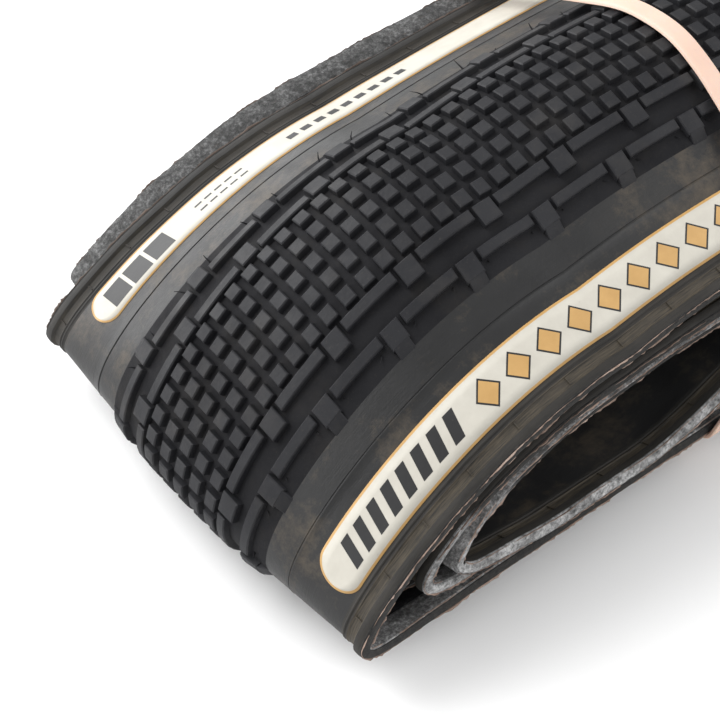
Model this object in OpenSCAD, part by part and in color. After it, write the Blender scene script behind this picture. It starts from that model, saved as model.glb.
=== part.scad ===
// Folding bicycle tire, flattened, folded in eight layers and held by one rubber band.
// The tire is one endless ring. Its path is followed through four nested bends at the left end
// and four bends at the right end, and the cross-section is swept along that path.
// +X runs along the package towards the band, +Y across it, +Z up. Millimetres.

/* [Tire section] */
// half of the casing's bead-to-bead width, measured along the casing
half_width = 64.5; // [62:0.5:66]
// thickness of the airtight inner layer
liner_t = 0.4; // [0.3:0.05:0.5]
// thickness of the woven casing
casing_t = 0.6; // [0.5:0.05:0.7]
// thickness of the puncture belt under the tread
breaker_t = 0.4; // [0.3:0.05:0.5]
// thickness of the cushion rubber under the tread
base_t = 0.6; // [0.5:0.05:0.7]
// thickness of tread cap and knobs together
tread_t = 2.2; // [1.8:0.1:2.4]
// thickness of the sidewall rubber
side_t = 0.8; // [0.6:0.1:0.9]
// thickness of a printed label
label_t = 0.2; // [0.15:0.05:0.3]

/* [Bead] */
// width of the bead cord bundle
core_w = 3.5; // [3:0.1:4]
// height of the bead cord bundle
core_h = 1.4; // [1.2:0.1:1.5]
// rubber over the bead cord bundle
chafer_t = 0.6; // [0.4:0.1:0.7]

/* [Folded package] */
// top of the folded package, at the casing, where the left end bend starts
top_z = 74; // [73.9:0.1:74.4]
// reach of the outermost bend at the left end
nose_x = -122; // [-124:1:-121]
// where the right end bends start
right_x = 119; // [117:1:121]
// half width of the flat underside
flat_half = 22; // [22:1:24]

/* [Rubber band] */
// width of the band
band_w = 4.8; // [4:0.2:6]
// thickness of the band
band_t = 1.2; // [0.8:0.1:1.3]

/* [Labels] */
// first path station of the printed labels
label_from = 1; // [1:1:3]
// last path station of the printed labels
label_to = 9; // [8:1:9]

/* [Hidden] */

// frame origin, in the package's own coordinates
origin = [8.9, 4.53, 0];

// ---- arch of the package across its width
crown_bend = 0.022;      // radians per mm over the crown
crown_half = 18;         // mm of casing each side that the crown bend covers
flank_bend = 0.0003;     // radians per mm down the flank
flank_end = 58;          // where the flank starts to curl outward
curl_end = 70;
curl_slope = -0.12;
arch_ref = 64.5;
arch_step = 2;
drop_steps = 42;
flank_slope = crown_bend * crown_half + flank_bend * (flank_end - crown_half);
DEG = 180 / PI;

function slope(a) = a < crown_half ? crown_bend * a
    : a < flank_end ? crown_bend * crown_half + flank_bend * (a - crown_half)
    : a < curl_end ? flank_slope + (curl_slope - flank_slope) * (a - flank_end) / (curl_end - flank_end)
    : curl_slope;
function drops(k, acc) = k == 0 ? acc
    : drops(k - 1, concat(acc, [acc[len(acc) - 1]
        + sin(slope((len(acc) - 0.5) * arch_step) * DEG) * arch_step]));
DROP = drops(drop_steps, [0]);
function drop_at(a) = let (f = abs(a) / arch_step, i = floor(f)) DROP[i] + (DROP[i + 1] - DROP[i]) * (f - i);
drop_ref = drop_at(arch_ref);
function w_arch(a) = drop_at(a) / drop_ref;
function w_flat(a) = pow(max(abs(a) - flat_half, 0) / (arch_ref - flat_half), 1.5);
function w_mix(a, m) = w_arch(a) * (1 - m) + w_flat(a) * m;
function smooth(u) = let (c = min(max(u, 0), 1)) c * c * (3 - 2 * c);

// ---- the eight layers, numbered from the top: 1 to 8
// left bends nest O(1-8), A(2-7), B(3-6), C(4-5); right bends join 4-1, 2-3, 6-5 and 8-7
xs_crown = -40;
xs_bead = -38;
bend_steps = [0, 16, 32, 48, 64, 80, 97, 118, 145, 163, 180];
fold_steps = [0, 30, 60, 90, 120, 150, 180];
skew = 2.2;
settle = 0.004;
// the bends leave the floor by at least this much per degree
lead = 0.015;
// share of the flat cross-section kept at the right end by layers 5 to 8
flat_end = 0.7;
// per loop: reach, upper and lower level at the crown
LOOP = [[nose_x, top_z, 3.2], [-117.5, 71.5, 5.8], [-106.2, 63, 12.8], [-101.7, 60.5, 15.3]];
// outermost bead line: reach past xs_bead, lower level, drop and how late it falls
bead_reach = 81.1;
bead_low = 13.6;
bead_drop = 39.5;
bead_skew = 3.2;
// bead line of each loop round the left end, [x, z] at each bend step
BEAD = [
    [for (a = bend_steps)
        [xs_bead - bead_reach * sin(a), bead_low + bead_drop * pow((1 + cos(a)) / 2, bead_skew)]],
    [[-38, 50.5], [-58, 48], [-77.3, 41.8], [-93, 33.8], [-103, 27], [-107, 23.2], [-106.6, 19.2],
     [-100.5, 16.7], [-80, 16.2], [-58, 16.2], [-38, 16.2]],
    [[-38, 44.4], [-56.5, 42.4], [-75, 37.2], [-88.5, 31], [-96, 27.3], [-99.4, 24.8], [-98.8, 22],
     [-92.5, 20.4], [-76, 20.2], [-56, 20.2], [-38, 20.2]],
    [[-38, 41.6], [-55, 39.6], [-72, 34.7], [-84, 29.8], [-89.5, 27.7], [-92.4, 25.8], [-91, 23.6],
     [-86, 22.8], [-72, 22.8], [-54, 22.8], [-38, 22.8]]];
// by layer number, entry 0 unused
left_crown = [0, top_z, 71.5, 63, 60.5, 15.3, 12.8, 5.8, 3.2];
left_bead = [0, 53.1, 50.5, 44.4, 41.6, 22.8, 20.2, 16.2, 13.6];
right_crown = [0, 75, 72.2, 56, 53.2, 43, 33, 17, 3.2];
right_bead = [0, 58, 54.8, 46, 42.8, 35, 27, 21, 13];
rise_crown = [0, 4.6, 4.6, 3.2, 3.2, 0, 2, 3.2, 2.4];
rise_bead = [0, 2.2, 2.2, 0.8, 0.8, 0, 1.5, 1.5, 1];
left_shift = [0, 1.8, 12, 4, 4, -3, 2, 12, 2];
right_shift = [0, 0, 8, 4, 3, 2, 2, 6, 3];
leg_steps = [0, 0.25, 0.5, 0.75, 1];
under_steps = [0, 0.07, 0.16, 0.5, 1];
// how early the upper layers rise towards the middle
early = 0.5536;

function hump(k, u) = pow(sin(180 * (k < 5 ? pow(u, early) : u)), 2);
function rise(k, u) = k == 8 ? smooth((u - 0.07) / 0.09) * smooth((1 - u) / 0.4)
    : k > 5 ? smooth(u / 0.2) * smooth((1 - u) / 0.4)
    : hump(k, u);
// the fifth and sixth layer leave the fourth's side sooner than the others
function hurry(k, u) = smooth(u * (k == 5 ? 1.6 : k == 6 ? 1.3 : 1));
function hurry_bead(k, u) = smooth(u * (k == 5 ? 3 : k == 6 ? 1.3 : 1));
// a station is [crown x, crown z, bead x, bead z, sideways shift, share of flat shape]
function leg(k, u) = [
    xs_crown + (right_x - xs_crown) * u,
    left_crown[k] + (right_crown[k] - left_crown[k]) * hurry(k, u) + rise_crown[k] * rise(k, u),
    xs_bead + (right_x - xs_bead) * u,
    left_bead[k] + (right_bead[k] - left_bead[k]) * hurry_bead(k, u) + rise_bead[k] * hump(k, u),
    left_shift[k] + (right_shift[k] - left_shift[k]) * smooth(u),
    k < 5 ? 0 : 1 - (1 - flat_end) * smooth(u)];
function bend(n, i) = let (a = bend_steps[i], g = (1 + cos(a)) / 2, m = smooth(a / 180),
    q = max(pow(g, skew) - settle, 0) / (1 - settle), L = LOOP[n]) [
    xs_crown + (L[0] - xs_crown) * sin(a),
    L[2] + max((L[1] - L[2]) * q, lead * (180 - a)),
    BEAD[n][i][0],
    BEAD[n][i][1],
    left_shift[n + 1] + (left_shift[8 - n] - left_shift[n + 1]) * m,
    m];
function fold(p, q, reach, a) = let (g = (1 + cos(a)) / 2, m = smooth(a / 180),
    mp = p < 5 ? 0 : flat_end, mq = q < 5 ? 0 : flat_end) [
    right_x + reach[0] * sin(a),
    right_crown[q] + (right_crown[p] - right_crown[q]) * g,
    right_x + reach[1] * sin(a),
    right_bead[q] + (right_bead[p] - right_bead[q]) * g,
    right_shift[p] + (right_shift[q] - right_shift[p]) * m,
    mp + (mq - mp) * m];

last_leg = len(leg_steps) - 2;
last_bend = len(bend_steps) - 1;
last_fold = len(fold_steps) - 2;
function leg_out(k) = [for (j = [0:last_leg]) leg(k, k == 8 ? under_steps[j] : leg_steps[j])];
function leg_back(k) = [for (j = [last_leg + 1:-1:1]) leg(k, leg_steps[j])];
function bend_down(n) = [for (i = [0:last_bend - 1]) bend(n, i)];
function bend_up(n) = [for (i = [last_bend:-1:1]) bend(n, i)];
function fold_of(p, q, reach) = [for (j = [0:last_fold]) fold(p, q, reach, fold_steps[j])];

// reach of each right end bend past right_x, [at the crown, at the bead]
reach_87 = [16, 5];
reach_23 = [15, 6];
reach_65 = [14, 5];
reach_41 = [20, 11];
PATH = concat(
    leg_back(1), bend_down(0), leg_out(8), fold_of(8, 7, reach_87),
    leg_back(7), bend_up(1), leg_out(2), fold_of(2, 3, reach_23),
    leg_back(3), bend_down(2), leg_out(6), fold_of(6, 5, reach_65),
    leg_back(5), bend_up(3), leg_out(4), fold_of(4, 1, reach_41));
stations = len(PATH);

// ---- the casing surface, sampled at these distances from its centre line
bead_lip = 1.5;
core_out = half_width - bead_lip;
core_in = core_out - core_w;
side_end = 56.5;
label_in = 44;
tread_edge = 30;
shoulder = 28.5;
belt_edge = 20;
crown_in = 7;
function both(list) = concat([for (k = [len(list) - 1:-1:0]) -list[k]], list);
HALF = [crown_in, belt_edge, shoulder, tread_edge, label_in, side_end, core_in, core_out, half_width];
TV = both(HALF);
tn = len(TV);
function ti(t) = [for (k = [0:tn - 1]) if (abs(TV[k] - t) < 0.001) k][0];

across_steps = 24;
function across(D, m, a, k) = k == 0 ? 0 : let (
    da = a / across_steps,
    dw = D * (w_mix(da * k, m) - w_mix(da * (k - 1), m)))
    sqrt(max(da * da - dw * dw, 0)) + across(D, m, a, k - 1);
function mid_point(i, t) = let (q = PATH[i], a = t + q[4], w = w_mix(a, q[5]),
    D = norm([q[2] - q[0], q[3] - q[1]]))
    [q[0] + (q[2] - q[0]) * w, sign(a) * across(D, q[5], abs(a), across_steps), q[1] + (q[3] - q[1]) * w]
    - origin;
GRID = [for (i = [0:stations - 1]) [for (t = TV) mid_point(i, t)]];
function unit(v) = v / norm(v);
function outward(i, k) = let (
    ds = GRID[(i + 1) % stations][k] - GRID[(i + stations - 1) % stations][k],
    dt = GRID[i][min(k + 1, tn - 1)] - GRID[i][max(k - 1, 0)])
    unit(cross(dt, ds));
NORMAL = [for (i = [0:stations - 1]) [for (k = [0:tn - 1]) outward(i, k)]];
function at(i, v) = GRID[i][v[0]] + NORMAL[i][v[0]] * v[1];

// ---- sweep of one section outline, given as [distance from centre, height over the casing]
// The cut of each four-sided patch follows the same rule everywhere, so neighbours share faces.
function lower_first(a, b) = a[0] < b[0] || (a[0] == b[0] && a[1] < b[1]);
function patch(r0, r1, a, b, keep) = keep
    ? [[r0 + a, r0 + b, r1 + b], [r0 + a, r1 + b, r1 + a]]
    : [[r0 + a, r0 + b, r1 + a], [r0 + b, r1 + b, r1 + a]];
function outline(sec) = [for (v = sec) [ti(v[0]), v[1]]];

module ring(sec) {
    vs = outline(sec);
    n = len(vs);
    pts = [for (i = [0:stations - 1]) for (v = vs) at(i, v)];
    tris = [for (i = [0:stations - 1]) for (a = [0:n - 1])
        let (b = (a + 1) % n, r0 = i * n, r1 = ((i + 1) % stations) * n)
        for (f = patch(r0, r1, a, b, lower_first(vs[a], vs[b]))) f];
    polyhedron(points = pts, faces = tris);
}

module strip(sec, from, to) {
    vs = outline(sec);
    n = len(vs);
    m = to - from;
    pts = [for (i = [from:to]) for (v = vs) at(i, v)];
    tris = [for (i = [0:m - 1]) for (a = [0:n - 1])
        let (b = (a + 1) % n, r0 = i * n, r1 = (i + 1) * n)
        for (f = patch(r0, r1, a, b, lower_first(vs[a], vs[b]))) f];
    first = [for (a = [1:n - 2]) [0, a + 1, a]];
    final = [for (a = [1:n - 2]) [m * n, m * n + a, m * n + a + 1]];
    polyhedron(points = pts, faces = concat(tris, first, final));
}

// ---- section outlines, for the far side (+Y); mirrored for the near side
function mirrored(sec) = [for (k = [len(sec) - 1:-1:0]) [-sec[k][0], sec[k][1]]];
function level(list, h) = [for (t = list) [t, h]];
function back(list) = [for (k = [len(list) - 1:-1:0]) list[k]];
cushion = breaker_t + base_t;
crown_top = cushion + tread_t;
shoulder_step = 0.8;
shoulder_top = crown_top - shoulder_step;
core_top = core_h + chafer_t;
lip_step = 0.2;

module tread_cap() {
    color([0.09, 0.09, 0.1])
        ring(concat([[-tread_edge, side_t]], level(both([crown_in, belt_edge]), cushion), [[tread_edge, side_t]],
            [[shoulder, shoulder_top]], level(back(both([crown_in, belt_edge])), crown_top), [[-shoulder, shoulder_top]]));
}

module base_rubber() {
    color([0.16, 0.16, 0.17])
        ring(concat([[-tread_edge, 0], [-belt_edge, 0]], level(both([crown_in, belt_edge]), breaker_t),
            [[belt_edge, 0], [tread_edge, 0], [tread_edge, side_t]],
            level(back(both([crown_in, belt_edge])), cushion), [[-tread_edge, side_t]]));
}

module breaker_belt() {
    color([0.75, 0.6, 0.3])
        ring(concat(level(both([crown_in, belt_edge]), 0), level(back(both([crown_in, belt_edge])), breaker_t)));
}

module casing() {
    under = both([crown_in, belt_edge, tread_edge, label_in, side_end, half_width]);
    over = both([crown_in, belt_edge, tread_edge, label_in, side_end, core_in, core_out, half_width]);
    color([0.3, 0.28, 0.26])
        ring(concat(level(under, -casing_t), level(back(over), 0)));
}

module inner_liner() {
    list = both([crown_in, belt_edge, tread_edge, label_in, side_end]);
    color([0.2, 0.2, 0.21])
        ring(concat(level(list, -casing_t - liner_t), level(back(list), -casing_t)));
}

side_list = [tread_edge, label_in, side_end];
side_sec = concat(level(side_list, 0), level(back(side_list), side_t));
core_sec = [[core_in, 0], [core_out, 0], [core_out, core_h], [core_in, core_h]];
chafer_sec = [[side_end, 0], [core_in, 0], [core_in, core_h], [core_out, core_h], [core_out, 0],
    [half_width, 0], [half_width, core_top - lip_step], [core_in, core_top], [side_end, side_t]];
label_sec = [[label_in, side_t], [side_end, side_t], [side_end, side_t + label_t], [label_in, side_t + label_t]];

module sidewall_near() { color([0.12, 0.12, 0.13]) ring(mirrored(side_sec)); }
module sidewall_far() { color([0.12, 0.12, 0.13]) ring(side_sec); }
module bead_core_near() { color([0.85, 0.72, 0.3]) ring(mirrored(core_sec)); }
module bead_core_far() { color([0.85, 0.72, 0.3]) ring(core_sec); }
module chafer_near() { color([0.25, 0.24, 0.24]) ring(mirrored(chafer_sec)); }
module chafer_far() { color([0.25, 0.24, 0.24]) ring(chafer_sec); }
module label_near() { color([0.93, 0.9, 0.8]) strip(mirrored(label_sec), label_from, label_to); }
module label_far() { color([0.93, 0.9, 0.8]) strip(label_sec, label_from, label_to); }

// ---- the band: a flat loop in a plane that leans towards the left end at the bottom
lean_y = 0.06;
lean_z = 0.434;
band_x = -10.2;
// inner face of the loop, [y, z], in the package's own coordinates
LOOP_IN = [[-22, 1.45], [24, 1.45], [66.8, 12.5], [75.6, 19.6], [71.3, 57.6], [70.2, 58.9],
    [62.6, 62.5], [16, 79.7], [8.5, 81.6], [0, 82.3], [-8.5, 81.6], [-16.4, 79.5], [-62.6, 62.5],
    [-66.5, 37.2], [-66.6, 32.7], [-62.5, 11.2], [-59.4, 10.2]];
bn = len(LOOP_IN);
function edge_out(k) = let (e = LOOP_IN[(k + 1) % bn] - LOOP_IN[k]) unit([e[1], -e[0]]);
function loop_out(k) = let (n0 = edge_out((k + bn - 1) % bn), n1 = edge_out(k), s = n0 + n1)
    LOOP_IN[k] + s * (2 * band_t / (s * s));
function band_point(q, side) = [band_x + lean_y * q[0] + lean_z * q[1] + side * band_w / 2, q[0], q[1]] - origin;

module rubber_band() {
    pts = [for (k = [0:bn - 1]) for (v = [[0, -1], [0, 1], [1, 1], [1, -1]])
        band_point(v[0] == 0 ? LOOP_IN[k] : loop_out(k), v[1])];
    tris = [for (k = [0:bn - 1]) for (a = [0:3])
        let (b = (a + 1) % 4, r0 = k * 4, r1 = ((k + 1) % bn) * 4)
        for (f = patch(r0, r1, a, b, true)) f];
    color([0.95, 0.8, 0.72]) polyhedron(points = pts, faces = tris);
}

tread_cap();
base_rubber();
breaker_belt();
casing();
inner_liner();
sidewall_near();
sidewall_far();
bead_core_near();
bead_core_far();
chafer_near();
chafer_far();
label_near();
label_far();
rubber_band();
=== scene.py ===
"""Looks of the folded bicycle tire: detailed pieces swept along the same folded path as the CAD part."""
import math

import bpy
import numpy as np
from mathutils import Matrix, Vector


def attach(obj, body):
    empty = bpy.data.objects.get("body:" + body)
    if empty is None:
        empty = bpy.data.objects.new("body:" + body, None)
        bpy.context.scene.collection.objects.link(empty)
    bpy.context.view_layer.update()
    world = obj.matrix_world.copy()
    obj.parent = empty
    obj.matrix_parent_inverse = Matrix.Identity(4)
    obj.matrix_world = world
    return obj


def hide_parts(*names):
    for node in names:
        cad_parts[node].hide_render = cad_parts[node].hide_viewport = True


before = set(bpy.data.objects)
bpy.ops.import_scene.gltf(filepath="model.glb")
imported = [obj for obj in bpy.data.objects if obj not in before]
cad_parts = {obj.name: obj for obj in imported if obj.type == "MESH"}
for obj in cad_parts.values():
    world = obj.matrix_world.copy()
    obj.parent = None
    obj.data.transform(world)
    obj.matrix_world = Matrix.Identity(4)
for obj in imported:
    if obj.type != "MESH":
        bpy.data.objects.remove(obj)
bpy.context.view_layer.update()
rng = np.random.default_rng(584)

# ---------------------------------------------------------------- dimensions, millimetres
ORIGIN = np.array([8.9, 4.53, 0.0])     # frame origin in the package's own coordinates
MM = 0.001
UV_SCALE = 0.1                          # materials get the section's coordinates in centimetres
SIDES = (("near", -1), ("far", 1))      # name, and sign of the distance across

# tread pattern
PERIODS = 91                            # repeats round the tire
TREAD_SKEW = -0.055                     # the far side's pattern lags by this much per mm across
TREAD_START = -1.3                      # path distance of one inner shoulder block at the centre line
KNOB_ROWS = (-12.1, -6.05, 0.0, 6.05, 12.1)
KNOB_HALF, KNOBS_PER_PERIOD = 1.86, 4   # half the side of a small knob; small knobs along one repeat
KNOB_JITTER, KNOB_WEAR = 0.05, 0.18     # spread of a small knob's place; most that its top is lowered by
BLOCK_WEAR, BAR_DROP = 0.1, 0.1         # most that a shoulder block is lowered by; drop of bars, buttresses
INNER_EDGE, INNER_SIZE = 15.2, 5.3      # inner shoulder blocks: nearer edge and side
OUTER_EDGE, OUTER_SIZE = 23.6, 5.3      # outer shoulder blocks
BAR_WIDTH, BAR_GAP = 2.7, 1.0           # bars between shoulder blocks, and the gap before and after each
TAIL_END, TAIL_HALF, TAIL_LAP = 31.6, 2.3, 0.5      # the outer blocks' buttresses: end, half width, overlap
FLOOR = 1.25                            # height of the tread floor over the casing
HAIR_T, HAIR_PLACES = 27.0, (-4.9, 5.3)             # vent hairs: distance across, places in each repeat

# beads and labels
WAVE, BAND_AT_X = 0.35, -12.0           # waviness of the bead edges; place of the band in the frame
FLASH_FOOT, FLASH_STEP = 64.35, 0.9     # flash: distance across, spacing of its points
TICK_SPACING, TICK_IN, TICK_OUT = 16.1, 59.1, 61.4  # cross ridges between the ribs
LABEL_IN, LABEL_OUT = 44.0, 56.5        # printed labels: distance across
LABEL_FROM, LABEL_TIP_NEAR, LABEL_TIP_FAR = -79.0, 135.4, 127.6     # path distance of their ends
BORDER_TOP, FIELD_TOP, INK = 0.97, 1.0, 1.035       # heights of the printed layers over the casing

# ---------------------------------------------------------------- the folded path
# The same values as in part.scad. Eight layers are numbered from the top, 1 to 8. Left bends 0 to 3 join
# layers 1-8, 2-7, 3-6 and 4-5, and the right bends join 4-1, 2-3, 6-5 and 8-7.
CROWN_BEND, CROWN_HALF, FLANK_BEND = 0.022, 18.0, 0.0003    # arch across the package: radians per mm
FLANK_END, CURL_END, CURL_SLOPE = 58.0, 70.0, -0.12         # the flank curls outward between these
ARCH_REF, FLAT_HALF = 64.5, 22.0
XS_CROWN, XS_BEAD, RIGHT_X = -40.0, -38.0, 119.0            # where the left and the right bends start
SKEW, SETTLE, EARLY = 2.2, 0.004, 0.5536
LEAD, FLAT_END = 0.015, 0.7             # least rise of a bend per degree; flatness left at the right end
BEND_STEPS = np.array([0, 16, 32, 48, 64, 80, 97, 118, 145, 163, 180.0])
# left bends: reach, upper level and lower level of the crown line
LOOP = [(-122.0, 74.0, 3.2), (-117.5, 71.5, 5.8), (-106.2, 63.0, 12.8), (-101.7, 60.5, 15.3)]
BEAD_REACH, BEAD_LOW, BEAD_DROP, BEAD_SKEW = 81.1, 13.6, 39.5, 3.2
# bead line [x, z] of left bends 1 to 3 at each of the bend steps
BEAD = [None,
        [(-38, 50.5), (-58, 48), (-77.3, 41.8), (-93, 33.8), (-103, 27), (-107, 23.2), (-106.6, 19.2),
         (-100.5, 16.7), (-80, 16.2), (-58, 16.2), (-38, 16.2)],
        [(-38, 44.4), (-56.5, 42.4), (-75, 37.2), (-88.5, 31), (-96, 27.3), (-99.4, 24.8), (-98.8, 22),
         (-92.5, 20.4), (-76, 20.2), (-56, 20.2), (-38, 20.2)],
        [(-38, 41.6), (-55, 39.6), (-72, 34.7), (-84, 29.8), (-89.5, 27.7), (-92.4, 25.8), (-91, 23.6),
         (-86, 22.8), (-72, 22.8), (-54, 22.8), (-38, 22.8)]]
# by layer number, entry 0 unused: levels, rises in mid-leg, and sideways shifts
LEFT_CROWN = (0, 74.0, 71.5, 63, 60.5, 15.3, 12.8, 5.8, 3.2)
LEFT_BEAD = (0, 53.1, 50.5, 44.4, 41.6, 22.8, 20.2, 16.2, 13.6)
RIGHT_CROWN = (0, 75, 72.2, 56, 53.2, 43, 33, 17, 3.2)
RIGHT_BEAD = (0, 58, 54.8, 46, 42.8, 35, 27, 21, 13)
RISE_CROWN = (0, 4.6, 4.6, 3.2, 3.2, 0, 2, 3.2, 2.4)
RISE_BEAD = (0, 2.2, 2.2, 0.8, 0.8, 0, 1.5, 1.5, 1)
LEFT_SHIFT = (0, 1.8, 12, 4, 4, -3, 2, 12, 2)
RIGHT_SHIFT = (0, 0, 8, 4, 3, 2, 2, 6, 3)
# right bends: how far the crown line and the bead line reach past RIGHT_X
REACH = {(8, 7): (16, 5), (2, 3): (15, 6), (6, 5): (14, 5), (4, 1): (20, 11)}
LEG_CUTS, BEND_CUTS, FOLD_CUTS = 40, 60, 30         # stations along each leg, left bend and right bend


def smooth(u):
    u = min(max(u, 0.0), 1.0)
    return u * u * (3 - 2 * u)


def slope(a):
    """Slope of the arched section, in radians, at distance a across from its centre line."""
    flank = CROWN_BEND * CROWN_HALF + FLANK_BEND * (FLANK_END - CROWN_HALF)
    curl = flank + (CURL_SLOPE - flank) * (a - FLANK_END) / (CURL_END - FLANK_END)
    outer = np.where(a < CURL_END, curl, CURL_SLOPE)
    middle = CROWN_BEND * CROWN_HALF + FLANK_BEND * (a - CROWN_HALF)
    return np.where(a < CROWN_HALF, CROWN_BEND * a, np.where(a < FLANK_END, middle, outer))


# ARCH_D: the arch's drop at every half millimetre across, as a share of its drop at ARCH_REF
ARCH_A = np.linspace(0, 84, 169)
ARCH_S = np.sin(slope(ARCH_A))
ARCH_D = np.concatenate([[0], np.cumsum((ARCH_S[1:] + ARCH_S[:-1]) / 2 * 0.5)])
ARCH_D = ARCH_D / np.interp(ARCH_REF, ARCH_A, ARCH_D)


def weight(a, share):
    """How far from the crown line to the bead line a point lies, for its distance a across the package."""
    arch = np.interp(np.abs(a), ARCH_A, ARCH_D)
    flat = (np.clip(np.abs(a) - FLAT_HALF, 0, None) / (ARCH_REF - FLAT_HALF)) ** 1.5
    return arch * (1 - share) + flat * share


def hump(k, u):
    """Share of layer k's rise at u along its leg, 0 at the left and 1 at the right."""
    return math.sin(math.pi * (u ** EARLY if k < 5 else u)) ** 2


def rise(k, u):
    """The same for the crown line: the lower layers rise to a flat top."""
    if k == 8:
        return smooth((u - 0.07) / 0.09) * smooth((1 - u) / 0.4)
    return smooth(u / 0.2) * smooth((1 - u) / 0.4) if k > 5 else hump(k, u)


def leg(k, u):
    """Station [crown x, crown z, bead x, bead z, shift, flat share] at u along layer k."""
    crown = smooth(u * {5: 1.6, 6: 1.3}.get(k, 1))
    bead = smooth(u * {5: 3.0, 6: 1.3}.get(k, 1))
    return [XS_CROWN + (RIGHT_X - XS_CROWN) * u,
            LEFT_CROWN[k] + (RIGHT_CROWN[k] - LEFT_CROWN[k]) * crown + RISE_CROWN[k] * rise(k, u),
            XS_BEAD + (RIGHT_X - XS_BEAD) * u,
            LEFT_BEAD[k] + (RIGHT_BEAD[k] - LEFT_BEAD[k]) * bead + RISE_BEAD[k] * hump(k, u),
            LEFT_SHIFT[k] + (RIGHT_SHIFT[k] - LEFT_SHIFT[k]) * smooth(u),
            0.0 if k < 5 else 1 - (1 - FLAT_END) * smooth(u)]


def bead_line(n, deg):
    """The bead's [x, z] round left bend n, smooth through its control points."""
    if n == 0:
        g = (1 + math.cos(math.radians(deg))) / 2
        return XS_BEAD - BEAD_REACH * math.sin(math.radians(deg)), BEAD_LOW + BEAD_DROP * g ** BEAD_SKEW
    q = np.array(BEAD[n], float)
    f = float(np.interp(deg, BEND_STEPS, np.arange(len(BEND_STEPS))))
    i = min(int(f), len(q) - 2)
    u = f - i
    before = q[i - 1] if i > 0 else 2 * q[0] - q[1]
    after = q[i + 2] if i + 2 < len(q) else 2 * q[-1] - q[-2]
    return 0.5 * (2 * q[i] + (q[i + 1] - before) * u + (2 * before - 5 * q[i] + 4 * q[i + 1] - after) * u * u
                  + (3 * q[i] - before - 3 * q[i + 1] + after) * u ** 3)


def bend(n, deg):
    """Station at deg round left bend n, 0 at its upper layer and 180 at its lower one."""
    a = math.radians(deg)
    m = smooth(deg / 180)
    q = max(((1 + math.cos(a)) / 2) ** SKEW - SETTLE, 0) / (1 - SETTLE)
    reach, high, low = LOOP[n]
    bx, bz = bead_line(n, deg)
    return [XS_CROWN + (reach - XS_CROWN) * math.sin(a),
            low + max((high - low) * q, LEAD * (180 - deg)), bx, bz,
            LEFT_SHIFT[n + 1] + (LEFT_SHIFT[8 - n] - LEFT_SHIFT[n + 1]) * m, m]


def fold(p, q, deg):
    """Station at deg round the right bend from layer p to layer q."""
    a = math.radians(deg)
    g, m = (1 + math.cos(a)) / 2, smooth(deg / 180)
    mp, mq = FLAT_END * (p > 4), FLAT_END * (q > 4)
    rc, rb = REACH[(p, q)]
    return [RIGHT_X + rc * math.sin(a), RIGHT_CROWN[q] + (RIGHT_CROWN[p] - RIGHT_CROWN[q]) * g,
            RIGHT_X + rb * math.sin(a), RIGHT_BEAD[q] + (RIGHT_BEAD[p] - RIGHT_BEAD[q]) * g,
            RIGHT_SHIFT[p] + (RIGHT_SHIFT[q] - RIGHT_SHIFT[p]) * m, mp + (mq - mp) * m]


def whole_path():
    """Every station, once round the tire: to the left, round a left bend, back, and round a right bend."""
    legs = np.linspace(0, 1, LEG_CUTS + 1)
    bends = np.linspace(0, 180, BEND_CUTS + 1)
    folds = np.linspace(0, 180, FOLD_CUTS + 1)[:-1]
    path = []
    for n, (first, second, after) in enumerate(((1, 8, 7), (7, 2, 3), (3, 6, 5), (5, 4, 1))):
        path += [leg(first, u) for u in legs[:0:-1]]
        path += [bend(n, deg) for deg in (bends[:-1] if first < second else bends[:0:-1])]
        path += [leg(second, u) for u in legs[:-1]]
        path += [fold(second, after, deg) for deg in folds]
    return np.array(path)


PATH = whole_path()
STATIONS = len(PATH)


def casing_points(ts):
    """The casing's outer face at these distances from its centre line, for every station."""
    ts = np.asarray(ts, float)
    share, shift = PATH[:, 5:6], PATH[:, 4:5]
    reach = np.linalg.norm(PATH[:, 2:4] - PATH[:, 0:2], axis=1)[:, None, None]
    a = ts[None] + shift
    steps = np.abs(a)[..., None] * np.linspace(0, 1, 33)
    w = weight(steps, share[..., None])
    across = np.sqrt(np.clip(np.diff(steps, axis=2) ** 2 - (np.diff(w, axis=2) * reach) ** 2, 0, None)).sum(2)
    w_end = w[..., -1]
    p = np.empty(a.shape + (3,))
    p[..., 0] = PATH[:, 0:1] + (PATH[:, 2:3] - PATH[:, 0:1]) * w_end
    p[..., 1] = np.sign(a) * across
    p[..., 2] = PATH[:, 1:2] + (PATH[:, 3:4] - PATH[:, 1:2]) * w_end
    return p - ORIGIN


def unit(v):
    return v / np.linalg.norm(v, axis=-1, keepdims=True)


CENTRE = casing_points([0.0])[:, 0]
STEP = np.linalg.norm(np.roll(CENTRE, -1, 0) - CENTRE, axis=1)
LENGTH = float(STEP.sum())
S_RAW = np.concatenate([[0], np.cumsum(STEP)[:-1]])
ZERO = float(np.interp(0.0, -(CENTRE[:LEG_CUTS, 0] + ORIGIN[0]), S_RAW[:LEG_CUTS]))
S_AT = S_RAW - ZERO                     # path distance of each station; 0 where the top layer crosses x = 0
PERIOD = LENGTH / PERIODS


def waviness(ts):
    """How far the slack bead edges stand off the true fold, for every station; none beneath the band."""
    near_bead = np.clip((np.abs(ts) - 50) / 12, 0, 1)[None] ** 2
    clear = np.clip((np.abs(CENTRE[:, 0:1] - BAND_AT_X) - 14) / 16, 0, 1)
    swell = np.zeros((STATIONS, len(ts)))
    for waves, size in ((29, 0.4), (47, 0.35), (83, 0.25)):
        phase = 2 * np.pi * waves * S_AT[:, None] / LENGTH + np.where(ts > 0, 1.3, 4.1)[None] * waves
        swell += size * np.sin(phase)
    return WAVE * near_bead * clear * swell


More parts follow.
